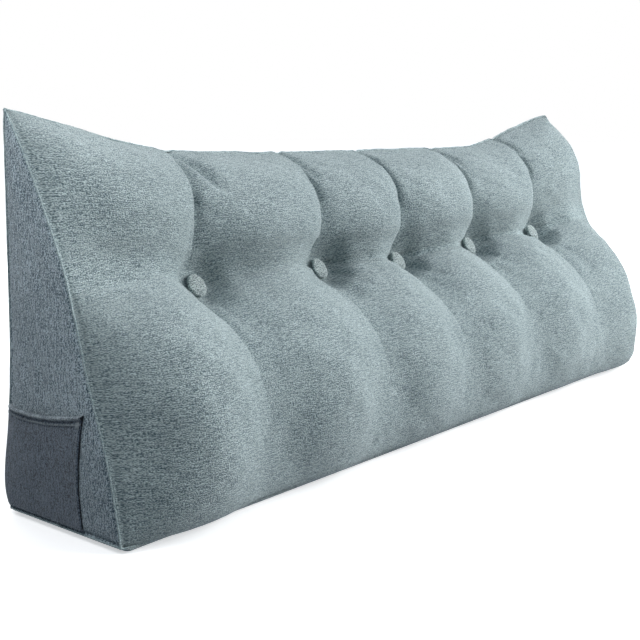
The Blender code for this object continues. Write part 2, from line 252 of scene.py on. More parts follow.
class CoverSettings(bpy.types.PropertyGroup):
    """Cloth and relief of the cover."""

    light: yarn_colour("cover", "Light", (0.527, 0.635, 0.638))
    dark: yarn_colour("cover", "Dark", (0.082, 0.131, 0.150))
    # Painted shade: scales the end cloth, a bluer copy of the front cloth that stands in for the shade
    # on the end panels
    end_shade: FloatProperty(
        name="End shade", description="How light the end panels are beside the front",
        subtype="FACTOR", min=0.0, max=1.5, default=1.0,
    )
    groove: metres("Seam groove", "Depth of the groove beside each seam", 0.0016, 0.0, 0.01)
    unevenness: metres("Unevenness", "Height of the waves in the filling", 0.0011, 0.0, 0.01)
    settle_cap: metres("Settling", "Furthest that the simulated cloth moves", 0.0042, 0.0, 0.03)
    settle_frames: IntProperty(
        name="Settling frames", description="Frames of cloth simulation", min=2, max=60, default=20,
    )


class ButtonSettings(bpy.types.PropertyGroup):
    """Covered buttons."""

    light: yarn_colour("button", "Light", (0.560, 0.650, 0.640))
    dark: yarn_colour("button", "Dark", (0.075, 0.110, 0.120))
    dome: metres("Dome", "Height of a button's dome above its rim", 0.0035, 0.0, 0.02)


class PocketSettings(bpy.types.PropertyGroup):
    """Side pocket and its hem."""

    light: yarn_colour("pocket", "Light", (0.195, 0.250, 0.310))
    dark: yarn_colour("pocket", "Dark", (0.034, 0.050, 0.070))
    cloth: metres("Cloth", "Thickness of the pocket's cloth", 0.0016, 0.0005, 0.004)
    hem: metres("Hem", "Width of the hem along the mouth", 0.0105, 0.002, 0.03)
    stitch: metres("Stitch", "Length of one stitch", 0.0034, 0.001, 0.01)


class StageSettings(bpy.types.PropertyGroup):
    """Floor and studio light."""

    floor: FloatVectorProperty(
        name="Floor", description="Colour of the floor",
        subtype="COLOR", size=3, min=0.0, max=1.0, default=(0.86, 0.86, 0.86),
    )
    key: watts("Key light", "Power of the large light in front at the right", 114.0)
    right: watts("Right light", "Power of the light beside the right end", 45.6)
    top: watts("Top light", "Power of the light above", 9.0)
    end: watts("End light", "Power of the small light above the pocket end", 4.2)
    back: watts("Back light", "Power of the light behind", 45.0)
    fill: FloatProperty(
        name="Fill", description="Brightness of the surroundings above and below", min=0.0, default=0.42,
    )


class BackrestSettings(bpy.types.PropertyGroup):
    """All settings of the backrest pillow."""

    cover: PointerProperty(type=CoverSettings)
    buttons: PointerProperty(type=ButtonSettings)
    pocket: PointerProperty(type=PocketSettings)
    stage: PointerProperty(type=StageSettings)


class Amount:
    """A value that varies over a surface. Arithmetic on it adds Math nodes."""

    def __init__(self, tree, socket=None):
        self.tree = tree
        self.socket = socket

    def node(self, kind, settings, sockets, output=0):
        """Adds one node: its settings first, then the values or links of its sockets."""
        made = self.tree.nodes.new(kind)
        for name, value in settings.items():
            setattr(made, name, value)
        self.feed(made, sockets)
        return Amount(self.tree, made.outputs[output])

    def feed(self, made, sockets):
        """Gives each named socket of a node its value, or a link from another amount."""
        for name, value in sockets.items():
            if isinstance(value, Amount):
                self.tree.links.new(value.socket, made.inputs[name])
            else:
                made.inputs[name].default_value = value

    def maths(self, operation, first, second):
        """Adds one Math node."""
        return self.node("ShaderNodeMath", {"operation": operation}, {0: first, 1: second})

    def __add__(self, other):
        return self.maths("ADD", self, other)

    def __sub__(self, other):
        return self.maths("SUBTRACT", self, other)

    def __rsub__(self, other):
        return self.maths("SUBTRACT", other, self)

    def __mul__(self, other):
        return self.maths("MULTIPLY", self, other)

    def limited(self):
        """The value held between 0 and 1."""
        return self.maths("MINIMUM", self.maths("MAXIMUM", self, 0.0), 1.0)

    def colour(self, first, second):
        """Colour that is the first where the value is 0 and the second where it is 1."""
        sockets = {0: self, 6: (*first, 1.0), 7: (*second, 1.0)}
        return self.node("ShaderNodeMix", {"data_type": "RGBA"}, sockets, output=2)


def surface(name):
    """New material, the start of its node tree and its shader."""
    material = bpy.data.materials.new(name)
    material.use_nodes = True
    tree = material.node_tree
    return material, Amount(tree), tree.nodes["Principled BSDF"]


def woven_cloth(name, light, dark, along, across, pitch, contrast, depth):
    """Woven cloth on the piece's own weave coordinates, in metres.

    Tone is a sum of noises stretched along the weft: long slubs, short yarn streaks
    and single specks, plus slow patches. Light and dark yarn are mixed by that tone.
    The bump adds a plain weave, the product of a sine along and a sine across the cloth.
    """
    material, start, shader = surface(name)
    place = start.node("ShaderNodeUVMap", {"uv_map": "weave"}, {})

    def noise(scale_along, scale_across, detail, shift):
        """Noise with its own scale along and across the weft, about nothing."""
        spot = start.node("ShaderNodeVectorMath", {"operation": "MULTIPLY_ADD"}, {
            0: place, 1: (scale_along, scale_across, 1.0), 2: (shift, 2.0 * shift, 0.0),
        })
        return start.node("ShaderNodeTexNoise", {"noise_dimensions": "2D"}, {
            "Vector": spot, "Scale": 1.0, "Detail": detail, "Roughness": 0.6,
        }) - 0.5

    tone = noise(*PATCH_NOISE) * PATCH_SHARE
    for wide, high, detail, shift, share in YARN_NOISES:
        tone = tone + noise(wide * along, high * across, detail, shift) * share
    mixed = (tone * contrast + 0.46).limited()
    spot = start.node("ShaderNodeVectorMath", {"operation": "SCALE"}, {
        0: place, "Scale": math.tau / pitch,
    })
    warp, weft = (
        start.node("ShaderNodeMath", {"operation": "SINE"}, {
            0: start.node("ShaderNodeSeparateXYZ", {}, {0: spot}, output=axis),
        })
        for axis in (0, 1)
    )
    bump = start.node("ShaderNodeBump", {}, {
        "Strength": 0.85, "Distance": depth, "Height": warp * weft * 0.25 + tone * 0.9,
    })
    start.feed(shader, {
        "Base Color": mixed.colour(dark, light), "Roughness": 0.93 - mixed * 0.12, "Normal": bump,
        "Sheen Weight": 0.25, "Sheen Roughness": 0.55, "Specular IOR Level": 0.15,
    })
    return material


def smooth(share):
    """0 below 0, 1 above 1 and a smooth step between: 3 s squared less 2 s cubed."""
    share = np.clip(share, 0.0, 1.0)
    return share * share * (3.0 - 2.0 * share)


def bell(distance, width):
    """1 at no distance, falling as e to the minus square of distance over width."""
    return np.exp(-((distance / width) ** 2))


def eased(share):
    """From 0 to 1 as half a cosine."""
    return 0.5 - 0.5 * np.cos(math.pi * share)


def unit(vectors):
    """The vectors brought to length 1."""
    return vectors / np.maximum(np.linalg.norm(vectors, axis=-1, keepdims=True), 1e-12)


def yarns(settings):
    """Colours of the light and the dark yarn as arrays."""
    return np.array(settings.light), np.array(settings.dark)


def mesh_points(mesh):
    """Points of a mesh, a row for each."""
    flat = np.zeros(len(mesh.vertices) * 3, np.float32)
    mesh.vertices.foreach_get("co", flat)
    return flat.reshape(-1, 3).astype(float)


def placed(name, data):
    """New object in the scene, at the origin."""
    made = bpy.data.objects.new(name, data)
    bpy.context.scene.collection.objects.link(made)
    return made


def through(values, places):
    """Smooth cubic curve through the values at whole numbers, read at the places."""
    last = len(values) - 1
    start = np.clip(np.floor(places).astype(int), 0, last - 1)
    t = (places - start).reshape((-1,) + (1,) * (values.ndim - 1))
    before = values[np.maximum(start - 1, 0)]
    here = values[start]
    after = values[start + 1]
    beyond = values[np.minimum(start + 2, last)]
    bend = 2.0 * before - 5.0 * here + 4.0 * after - beyond
    twist = 3.0 * (here - after) + beyond - before
    return 0.5 * (2.0 * here + (after - before) * t + bend * t**2 + twist * t**3)


def ripples(points, seed, shortest, longest, waves=14):
    """Sum of sine waves in seeded directions, their lengths spread between two limits."""
    rng = np.random.default_rng(seed)
    way = unit(rng.normal(size=(waves, 3)))
    way *= (math.tau / np.geomspace(shortest, longest, waves))[:, None]
    phase = rng.uniform(0.0, math.tau, waves)
    return np.sin(points @ way.T + phase).sum(axis=-1) / math.sqrt(waves)


def seam_height(x):
    """Top seam: nearly level in the middle, rising to each ear as share squared, eased."""
    reach = np.clip((np.abs(x) - (LENGTH / 2 - EAR_REACH)) / EAR_REACH, 0.0, 1.0)
    ease = np.where(x < 0.0, LEFT_EAR_EASE, EAR_EASE)
    rise = (EAR_HEIGHT - MIDDLE_HEIGHT) * reach**2 * (1.0 + ease * (1.0 - reach))
    return MIDDLE_HEIGHT + rise + 0.0035 * bell(x + 0.33, 0.10)


def borders(level):
    """X of both end seams and of each crease, a row for each level."""
    up = np.outer(np.clip(level, 0, 1) ** 2, CREASES[:, 4])
    down = np.outer(np.clip(-level, 0, 1), CREASES[:, 5])
    end = np.full((len(level), 1), LENGTH / 2)
    return np.hstack((-end, CREASES[:, 0] + up + down, end))


def front_panel():
    """Front panel, a column for each place across the lobes, a row for each level.

    Each lobe stands out to its crown and falls to its two sides as a power of the
    distance across it, lower on its left above the waist, or as a cosine where the
    crease opens into a valley.
    Returns the points, the levels and the height of the waist in each column.
    """
    places = np.linspace(0.0, len(FRONT) - 1.0, FRONT_ROWS)
    level, inner, last, crease, left, right, power, soft = through(FRONT, places).T
    steps = np.arange(COLUMNS)
    lobe = np.minimum(steps // LOBE_STEPS, len(LOBES) - 1)
    share = eased((steps - lobe * LOBE_STEPS) / LOBE_STEPS)
    across = (2.0 * share - 1.0)[:, None]
    above = level >= 0.0
    crowns = np.vstack((last, *[inner] * (len(LOBES) - 2), last))
    crowns = crowns * np.where(above, LOBES[:, 0:1], LOBES[:, 1:2])
    crown = crowns[lobe]
    between = 0.5 * (np.vstack((crowns[:1], crowns)) + np.vstack((crowns, crowns[-1:])))
    border = np.where(across[:, 0] < 0.0, lobe, lobe + 1)
    seam = border[:, None]
    depth = np.pad(CREASES[:, 2:4], ((1, 1), (0, 0)))[border]
    deeper = 1.0 + (depth[:, 0:1] - 1.0) * smooth(level / 0.35)
    pull = np.where(above, deeper, depth[:, 1:2])
    side = between[border] + (crease - between[border]) * pull
    side = np.where(seam == 0, left, np.where(seam == len(LOBES), right, side))
    opening = np.where(np.isin(seam, (0, len(LOBES))), 0.0, soft)
    waists = np.pad(CREASES[:, 1], 1, constant_values=END_WAIST_HEIGHT)
    middle = 0.5 * (waists[lobe] + waists[lobe + 1]) + WAIST_LIFT
    waist = (middle + (waists[border] - middle) * across[:, 0] ** 2)[:, None]
    leaning = np.where((across < 0.0) & (seam > 0), 0.62 + 0.38 * smooth(-level / 0.3), 1.0)
    fall = (1.0 - opening) * np.abs(across) ** (power * leaning) + opening * eased(across)
    out = crown + (side - crown) * fall
    edge = borders(level).T
    x = edge[lobe] + share[:, None] * (edge[lobe + 1] - edge[lobe])
    top = waist + level * (seam_height(x) - waist)
    low = waist + level * (waist - BASE_SEAM_HEIGHT)
    points = np.stack((x, TOP_SEAM_Y - out, np.where(above, top, low)), axis=-1)
    return points, level, waist


def way_in(x, width):
    """Distance in from the nearer end seam as a share of the width, at most 1."""
    return np.clip((LENGTH / 2 - np.abs(x)) / width, 0.0, 1.0)


def base_and_back(front):
    """Base from the front seam to the back seam, then the back up to the top seam.

    Each edge of the base is a quarter roll. The back swells as its table says, less
    towards the ends, and its foot is rounded off at both corners.
    """
    x = front[:, :1, 0]
    near = (1.0 - way_in(x, BASE_ROLL)) ** 2
    front_y = TOP_SEAM_Y - FRONT[-1, 1] - (FRONT[-1, 4] - FRONT[-1, 1]) * near
    corner = (1.0 - way_in(x, FOOT_CORNER)) ** 2
    back_y = TOP_SEAM_Y + (BACK[0, 2] - 0.55 * corner) * BACK_FOOT
    ground = BASE_SEAM_HEIGHT * near
    turn = np.linspace(0.0, math.pi / 2, ROLL_STEPS + 1)
    roll_in = BASE_ROLL * (1.0 - np.cos(turn))
    roll_up = ground + (BASE_SEAM_HEIGHT - ground) * (1.0 - np.sin(turn))
    flat = np.linspace(0.0, 1.0, BASE_STEPS + 2)[1:-1]
    flat_y = front_y + BASE_ROLL + flat * (back_y - front_y - 2.0 * BASE_ROLL)
    rise, swell, foot = through(BACK, np.arange(BACK_STEPS * (len(BACK) - 1)) / BACK_STEPS).T
    fullness = 1.0 - (1.0 - way_in(x, EAR_REACH)) ** 4
    lower = corner * (0.1 + 0.45 * np.clip(1.0 - rise / 0.10, 0.0, 1.0) ** 2)
    y = (
        front_y + roll_in[1:],
        flat_y,
        back_y - roll_in[::-1][:-1],
        TOP_SEAM_Y + (foot - lower) * BACK_FOOT + swell * BACK_SWELL * fullness,
    )
    z = (
        roll_up[:, 1:],
        np.broadcast_to(ground, flat_y.shape),
        roll_up[:, ::-1][:, :-1],
        BASE_SEAM_HEIGHT + rise * (seam_height(x) - BASE_SEAM_HEIGHT),
    )
    y, z = np.hstack(y), np.hstack(z)
    return np.stack((np.broadcast_to(x, y.shape), y, z), axis=-1)


def outward(points):
    """Unit normals of the closed grid: the way down the front crossed with +X."""
    along = np.gradient(points, axis=0)
    down = np.roll(points, -1, axis=1) - np.roll(points, 1, axis=1)
    return unit(np.cross(down, along))


def row_lengths(points):
    """Mean distance of each row from the top seam, measured round the cushion."""
    steps = np.linalg.norm(np.roll(points, -1, axis=1) - points, axis=-1).mean(axis=0)
    return np.append(0.0, np.cumsum(steps))


def button_frame(row):
    """Middle of a button's seat and the way its face looks, from its turn and tilt."""
    turn, tilt = math.radians(row[6]), math.radians(row[7])
    face = (math.sin(turn) * math.cos(tilt), -math.cos(turn) * math.cos(tilt), math.sin(tilt))
    return np.array((row[0], TOP_SEAM_Y - SEAT_OUT, row[1])), np.array(face)


def press_seats(points):
    """Press a flat seat into the front at each button, blended out smoothly."""
    for row in CREASES:
        seat, face = button_frame(row)
        height = (points - seat) @ face
        radius = np.linalg.norm(points - seat - height[..., None] * face, axis=-1)
        hold = smooth((SEAT_BLEND - radius) / (SEAT_BLEND - SEAT_RADIUS))
        points = points - (np.maximum(height, 0.0) * hold)[..., None] * face
    return points


def held_cloth(points, level):
    """How firmly each point of the grid is held, from 0 to 1, while the cloth settles.

    A hold is a bell of the distance from a seam. The base and the button seats hold
    fully, the back by half. A crease holds more widely below the waist, so it stays soft.
    """
    held = np.zeros(points.shape[:2])
    steps = np.arange(COLUMNS) % LOBE_STEPS
    side = np.minimum(steps, LOBE_STEPS - steps)[:, None]
    held[:, :FRONT_ROWS] = bell(side, 5.0 + 8.0 * smooth((0.1 - level) / 0.30))
    length = row_lengths(points)
    rows = length[:-1]
    for distance, reach in (
        (np.minimum(rows, length[-1] - rows), HOLD_TOP),
        (np.maximum(length[FRONT_ROWS - 1] - rows, 0.0), HOLD_BASE),
        (LENGTH / 2 - np.abs(points[..., 0]), HOLD_END),
    ):
        held = np.maximum(held, bell(distance, reach))
    held[:, FRONT_ROWS:BACK_SEAM_ROW + 4] = 1.0
    held[:, BACK_SEAM_ROW + 4:] = np.maximum(held[:, BACK_SEAM_ROW + 4:], HOLD_BACK)
    for row in CREASES:
        seat, _ = button_frame(row)
        away = np.linalg.norm(points - seat, axis=-1)
        held = np.maximum(held, smooth((HOLD_SEAT - away) / 0.03))
    return held


def evened(values, passes):
    """A grid of values, each drawn towards its neighbours: a quarter, a half, a quarter."""
    for _ in range(passes):
        values = 0.5 * values + 0.25 * (np.roll(values, 1, axis=1) + np.roll(values, -1, axis=1))
        inner = 0.5 * values[1:-1] + 0.25 * (values[:-2] + values[2:])
        values = np.concatenate((values[:1], inner, values[-1:]))
    return values


def settled(points, level, cap, frames):
    """How far each point moves when the filled cover is let settle as cloth.

    A coarse copy of the grid, slightly shrunk, is inflated for some frames while its
    held points stay. The movement is limited smoothly to the cap, evened, then read
    back on the fine grid through a cubic in both directions.
    """
    held = held_cloth(points, level)[::SETTLE_COLUMNS, ::SETTLE_ROWS]
    coarse = points[::SETTLE_COLUMNS, ::SETTLE_ROWS]
    start = coarse - outward(coarse) * (0.75 * cap * (1.0 - held))[..., None]
    mesh = bpy.data.meshes.new("settling")
    mesh.from_pydata(start.reshape(-1, 3), [], grid_faces(*start.shape[:2]).tolist())
    body = placed("settling", mesh)
    group = body.vertex_groups.new(name="held")
    weights = np.round(held.ravel(), 1)
    for weight in np.unique(weights[weights > 0.0]):
        group.add(np.flatnonzero(weights == weight).tolist(), float(weight), "REPLACE")
    cloth = body.modifiers.new("cloth", "CLOTH")
    for setting, value in SETTLE_CLOTH.items():
        setattr(cloth.settings, setting, value)
    cloth.settings.effector_weights.gravity = 0.0
    cloth.point_cache.frame_end = frames
    for number in range(1, frames + 1):
        bpy.context.scene.frame_set(number)
    shown = body.evaluated_get(bpy.context.evaluated_depsgraph_get())
    move = mesh_points(shown.data).reshape(start.shape) - coarse
    bpy.data.objects.remove(body)
    bpy.context.scene.frame_set(1)
    far = np.linalg.norm(move, axis=-1, keepdims=True)
    move = evened(move * (cap * np.tanh(far / cap) / np.maximum(far, 1e-9)), 3)
    move = move * (1.0 - held)[..., None]
    move = through(move, np.arange(COLUMNS) / SETTLE_COLUMNS)
    move = np.concatenate((move, move[:, :1]), axis=1)
    return through(move.swapaxes(0, 1), np.arange(AROUND) / SETTLE_ROWS).swapaxes(0, 1)


def fold_depth(points, level):
    """Depth of the narrow folds that run down from the top seam.

    A fold is a bell across its line, steeper on its left, windowed along it.
    """
    x = points[..., 0]
    edge = borders(level)
    depth = np.zeros_like(x)
    for crease, upper, lower, end, left, right, deep in FOLDS:
        run = np.clip((FOLD_TOP - level) / (FOLD_TOP - end), 0.0, 1.0)
        begin = 0.5 + 0.5 * smooth((1.0 - level) / 0.05)
        away = x - (edge[:, crease] + upper + (lower - upper) * run**0.7)
        window = smooth((level - end) / (0.45 * (FOLD_TOP - end)))
        dip = bell(away, np.where(away < 0.0, left, right))
        lip = bell(away + 2.7 * left, 1.55 * left)
        depth += deep * begin * window * (dip - 0.12 * lip)
    return depth


def waist_depth(points, waist):
    """Depth of the folds round the buttons.

    A waist fold is a bell about the waist that dies out from each button. Pleats
    round a button are a cosine of the angle inside a ring.
    """
    x, z = points[..., 0], points[..., 2]
    depth = np.zeros_like(x)
    for number, (row, fold) in enumerate(zip(CREASES, WAIST_FOLDS)):
        across, up = x - row[0], z - row[1]
        deep = np.where(across < 0.0, fold[0], fold[2])
        fade = bell(across, np.where(across < 0.0, fold[1], fold[3]))
        fade *= smooth((np.abs(across) - 0.014) / 0.010)
        depth += deep * fade * bell(z - waist, 0.0042 + 0.032 * np.abs(across))
        angle = np.arctan2(up, across)
        ring = bell(np.hypot(across, up) - 0.036, 0.016)
        wave = np.cos(7.0 * angle + 1.3 * number) + 0.6 * np.cos(11.0 * angle + 2.1 * number)
        depth += 0.0007 * ring * wave
    return depth


def seam_groove(distance, deep):
    """Depth beside a seam: a bell 4 mm from it."""
    return deep * bell(distance - 0.0042, 0.0021)


def cover_points(settings):
    """The whole cover as a closed grid: panels, settling, folds, grooves and seats."""
    front, level, waist = front_panel()
    points = np.concatenate((front, base_and_back(front)), axis=1)
    points = points + settled(points, level, settings.settle_cap, settings.settle_frames)
    depth = np.zeros(points.shape[:2])
    depth[:, :FRONT_ROWS] = fold_depth(points[:, :FRONT_ROWS], level)
    inside = LENGTH / 2 - np.abs(points[..., 0])
    length = row_lengths(points)
    rows = length[:-1]
    for seam in (0.0, length[FRONT_ROWS - 1], length[BACK_SEAM_ROW], length[-1]):
        depth += seam_groove(np.abs(rows - seam), settings.groove)
    depth += seam_groove(inside, settings.groove)
    free = smooth(inside / 0.05) * smooth((points[..., 2] - 0.004) / 0.03)
    waves = ripples(points, 5, 0.045, 0.17) + 0.45 * ripples(points, 8, 0.018, 0.045)
    depth += settings.unevenness * waves * free
    points = points - outward(points) * depth[..., None]
    points = press_seats(points)
    depth = waist_depth(points[:, :FRONT_ROWS], waist)
    points[:, :FRONT_ROWS] -= outward(points)[:, :FRONT_ROWS] * depth[..., None]
    points[..., 2] = np.maximum(points[..., 2], 0.0)
    return points


def grid_faces(columns, around):
    """Quads of a grid that is open along its columns and closed round each of them."""
    i = np.arange(columns - 1)[:, None] * around
    j = np.arange(around)[None, :]
    k = (j + 1) % around
    return np.stack((i + j, i + k, i + around + k, i + around + j), axis=-1).reshape(-1, 4)


def grid_weave(quads, along, rounds):
    """Weave coordinates of a closed grid's corners: along at each point, distance round."""
    j = np.arange(len(quads)) % (len(rounds) - 1)
    high = np.stack((rounds[j], rounds[j + 1], rounds[j + 1], rounds[j]), axis=-1)
    return np.stack((along[quads], high), axis=-1).reshape(-1, 2)


def piece(name, points, faces, weave, materials, kinds=None, sharp=50.0):
    """Object at the origin from points, faces and weave coordinates for each corner."""
    mesh = bpy.data.meshes.new(name)
    mesh.from_pydata(points.reshape(-1, 3), [], faces)
    layer = mesh.uv_layers.new(name="weave")
    layer.data.foreach_set("uv", np.asarray(weave, np.float32).ravel())
    for material in materials:
        mesh.materials.append(material)
    if kinds is not None:
        mesh.polygons.foreach_set("material_index", np.asarray(kinds, np.int32))
    mesh.shade_smooth()
    mesh.set_sharp_from_angle(angle=math.radians(sharp))
    return placed(name, mesh)


def fan(ring, tip):
    """Triangles from each side of a closed ring to the tip."""
    return np.stack((ring, np.roll(ring, -1), np.full(len(ring), tip)), axis=-1)


def circles(first, second, sides):
    """Circle of radius 1 in the plane of each first and second way."""
    angle = np.linspace(0.0, math.tau, sides, endpoint=False)[:, None]
    return np.cos(angle) * first[:, None] + np.sin(angle) * second[:, None]


def end_cap(outline, side, first, ring, groove):
    """End panel: rings of the outline drawn in towards its middle, then a closing fan.

    A ring's X is half the length plus the swell, which falls off as a power of the
    radius, less the groove beside the seam and with slow waves in the filling.
    Returns the new points and the faces.
    """
    centre = np.array((0.0, *CAP_CENTRE))
    spread = END_RINGS[:, None, None] * (outline - centre) + centre
    reach = np.linalg.norm((outline - centre)[:, 1:], axis=-1)
    distance = (1.0 - END_RINGS[:, None]) * reach
    swell = END_SWELL * (1.0 - END_RINGS[:, None] ** CAP_POWER)
    swell = swell - seam_groove(distance, 1.5 * groove)
    swell = swell + 0.0008 * ripples(spread, 21, 0.05, 0.2) * smooth(distance / 0.05)
    spread[..., 0] = side * (LENGTH / 2 + swell)
    tip = np.array((side * (LENGTH / 2 + END_SWELL), *CAP_CENTRE))
    count = len(outline)
    last = len(END_RINGS) * count
    here = np.vstack((ring, first + np.arange(last).reshape(-1, count)))
    after = np.roll(here, -1, axis=1)
    quads = np.stack((here[:-1], after[:-1], after[1:], here[1:]), axis=-1).reshape(-1, 4)
    middle = fan(here[-1], first + last)
    if side < 0.0:
        quads, middle = quads[:, ::-1], middle[:, ::-1]
    return np.vstack((spread.reshape(-1, 3), tip)), quads.tolist() + middle.tolist()


def upright_weave(points, faces):
    """Weave coordinates of the faces' corners with the weft along Z: (z, y)."""
    corners = np.concatenate([np.asarray(f) for f in faces])
    return points[corners][:, (2, 1)]


def cover_grid():
    """Points of the cover's grid, read back from the made piece."""
    if "cover" not in bpy.data.objects:
        raise RuntimeError("the cover has to be made first")
    points = mesh_points(bpy.data.objects["cover"].data)
    return points[:COLUMNS * AROUND].reshape(COLUMNS, AROUND, 3)


class BACKREST_OT_cover(bpy.types.Operator):
    """Make the filled cover with its lobes, folds and end panels"""

    bl_idname = "backrest.make_cover"
    bl_label = "Make cover"

    def execute(self, context):
        settings = context.scene.backrest.cover
        grid = cover_points(settings)
        quads = grid_faces(COLUMNS, AROUND)
        points = grid.reshape(-1, 3)
        weave = grid_weave(quads, points[:, 0], row_lengths(grid))
        faces = quads.tolist()
        kinds = [0] * len(faces)
        for side, column in ((-1.0, 0), (1.0, COLUMNS - 1)):
            ring = column * AROUND + np.arange(AROUND)
            more, caps = end_cap(grid[column], side, len(points), ring, settings.groove)
            points = np.vstack((points, more))
            weave = np.vstack((weave, upright_weave(points, caps)))
            faces += caps
            kinds += [1] * len(caps)
        light, dark = yarns(settings)
        front = woven_cloth("front_cloth", light, dark, 150.0, 880.0, 0.0020, 1.1, 0.0011)
        # Painted shade: the end cloth is the front cloth tinted bluer, standing in for the bluish shade
        # on the end panels, which face away from the key light
        shade = settings.end_shade * np.array((0.98, 0.98, 1.06))
        end = woven_cloth("end_cloth", light * shade, dark * shade, 150.0, 700.0, 0.0020, 1.8, 0.0011)
        cover = piece("cover", points, faces, weave, (front, end), kinds)
        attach(cover, "root")
        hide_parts("pillow")
        return {"FINISHED"}


def tube(path, radius, upright, closed, sides=8):
    """Round cord along a path: circles in the plane across the path at each point.

    The circle's first axis is the upright way made square to the path, its second is
    the path crossed with the first. Ends of an open path are drawn to a point.
    Returns points, faces and weave coordinates: length along and way round.
    """
    if closed:
        along = np.roll(path, -1, axis=0) - np.roll(path, 1, axis=0)
    else:
        along = np.gradient(path, axis=0)
    along = unit(along)
    first = unit(upright - (along @ upright)[:, None] * along)
    size = np.full(len(path), radius)
    if not closed:
        size[[0, -1]] = 0.02 * radius
    points = path[:, None] + size[:, None, None] * circles(first, np.cross(along, first), sides)
    if closed:
        points = np.concatenate((points, points[:1]))
    faces = grid_faces(len(points), sides)
    run = np.append(0.0, np.cumsum(np.linalg.norm(np.diff(points[:, 0], axis=0), axis=1)))
    rounds = np.arange(sides + 1) * (math.tau * radius / sides)
    weave = grid_weave(faces, np.repeat(run, sides), rounds)
    points = points.reshape(-1, 3)
    if closed:
        faces = faces % (len(points) - sides)
        return points[:-sides], faces.tolist(), weave
    caps = [list(range(sides))[::-1], list(range(len(points) - sides, len(points)))]
    weave = np.vstack((weave, np.zeros((2 * sides, 2))))
    return points, faces.tolist() + caps, weave


class BACKREST_OT_seams(bpy.types.Operator):
    """Make the sewn ridges along the top, base and end seams"""

    bl_idname = "backrest.make_seams"
    bl_label = "Make seams"

    def execute(self, context):
        settings = context.scene.backrest.cover
        grid = cover_grid()
        way_x, _, way_z = np.eye(3)
        runs = (
            (grid[0], way_x, True),
            (grid[-1], way_x, True),
            (grid[:, 0], way_z, False),
            (grid[:, FRONT_ROWS - 1], way_z, False),
            (grid[:, BACK_SEAM_ROW], way_z, False),
        )
        points, faces, weave = np.zeros((0, 3)), [], np.zeros((0, 2))
        for number, (path, upright, closed) in enumerate(runs):
            wander = ripples(path, 30 + number, 0.008, 0.03, 6)
            path = path + SEAM_WANDER * wander[:, None] * upright
            more, rings, run_weave = tube(path, SEAM_RADIUS, upright, closed)
            faces += [[corner + len(points) for corner in face] for face in rings]
            points = np.vstack((points, more))
            weave = np.vstack((weave, run_weave))
        light, dark = yarns(settings)
        cloth = woven_cloth("seam_cloth", light, 1.2 * dark, 260.0, 500.0, 0.0016, 0.7, 0.0004)
        seams = piece("seam_ridges", points, faces, weave, (cloth,))
        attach(seams, "root")
        return {"FINISHED"}


def button_profile(dome):
    """Half outline of a button, radius and height: flat back, rolled rim, low dome."""
    angle = np.linspace(0.0, math.pi / 2, 14)
    back = np.array(((0.35, 0.0), (0.75, 0.0), (0.92, 0.0002), (0.985, 0.0009), (1.0, 0.0020)))
    side = np.array(((1.0, 0.0030), (1.0, 0.0038)))
    crown = np.stack((np.cos(angle[1:-1]) ** 0.9, 0.0040 + dome * np.sin(angle[1:-1])), axis=-1)
    return np.vstack((back, side, crown)) * (BUTTON_RADIUS, 1.0)


class BACKREST_OT_buttons(bpy.types.Operator):
    """Make the five covered buttons"""

    bl_idname = "backrest.make_buttons"
    bl_label = "Make buttons"

    def execute(self, context):
        settings = context.scene.backrest.buttons
        cloth = woven_cloth("button_cloth", *yarns(settings), 300.0, 620.0, 0.0019, 2.1, 0.0009)
        profile = button_profile(settings.dome)
        angle = np.linspace(0.0, math.tau, BUTTON_SIDES, endpoint=False)
        for number, row in enumerate(CREASES, start=1):
            name = f"button_{number}"
            solid = mesh_points(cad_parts[name].data)
            _, face = button_frame(row)
            middle = 0.5 * (solid.max(axis=0) + solid.min(axis=0))
            low = (solid @ face).min() - middle @ face
            first = unit(np.cross(face, (0.0, 0.0, 1.0)))
            second = np.cross(face, first)
            gather = 1.0 + 0.010 * np.cos(23.0 * angle + number) * np.exp(-profile[:, 1:] / 0.002)
            radius = profile[:, :1] * gather
            height = profile[:, 1:] + 0.0002 * np.cos(2.0 * angle + number)
            local = np.stack((radius * np.cos(angle), radius * np.sin(angle)), axis=-1)
            rings = middle + local[..., :1] * first + local[..., 1:] * second
            rings = rings + (low + height)[..., None] * face
            tips = middle + np.array((low, low + 0.0040 + settings.dome))[:, None] * face
            points = np.vstack((rings.reshape(-1, 3), tips))
            count = len(profile) * BUTTON_SIDES
            back = fan(np.arange(BUTTON_SIDES), count)[:, (1, 0, 2)]
            crown = fan(np.arange(count - BUTTON_SIDES, count), count + 1)
            faces = (grid_faces(len(profile), BUTTON_SIDES), back, crown)
            flat_weave = np.vstack((local.reshape(-1, 2), np.zeros((2, 2))))
            corners = np.concatenate([f.ravel() for f in faces])
            listed = [one for f in faces for one in f.tolist()]
            button = piece(f"covered_{name}", points, listed, flat_weave[corners], (cloth,), sharp=70.0)
            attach(button, "root")
            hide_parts(name)
        return {"FINISHED"}


def panel_place(outline, across, up):
    """(y, z) on the end panel: across runs from the back seam, up from the base seam."""
    top = POCKET_TOP + POCKET_RISE * across - POCKET_SAG * 4.0 * across * (1.0 - across)
    z = POCKET_FOOT + up * (top - POCKET_FOOT)
    edge = outline[BACK_SEAM_ROW:]
    back = np.interp(z, edge[:, 2], edge[:, 1]) - POCKET_INSET
    front = TOP_SEAM_Y + POCKET_FRONT - POCKET_BOW * (z - POCKET_BOW_HEIGHT) ** 2
    return back + across * (front - back), z


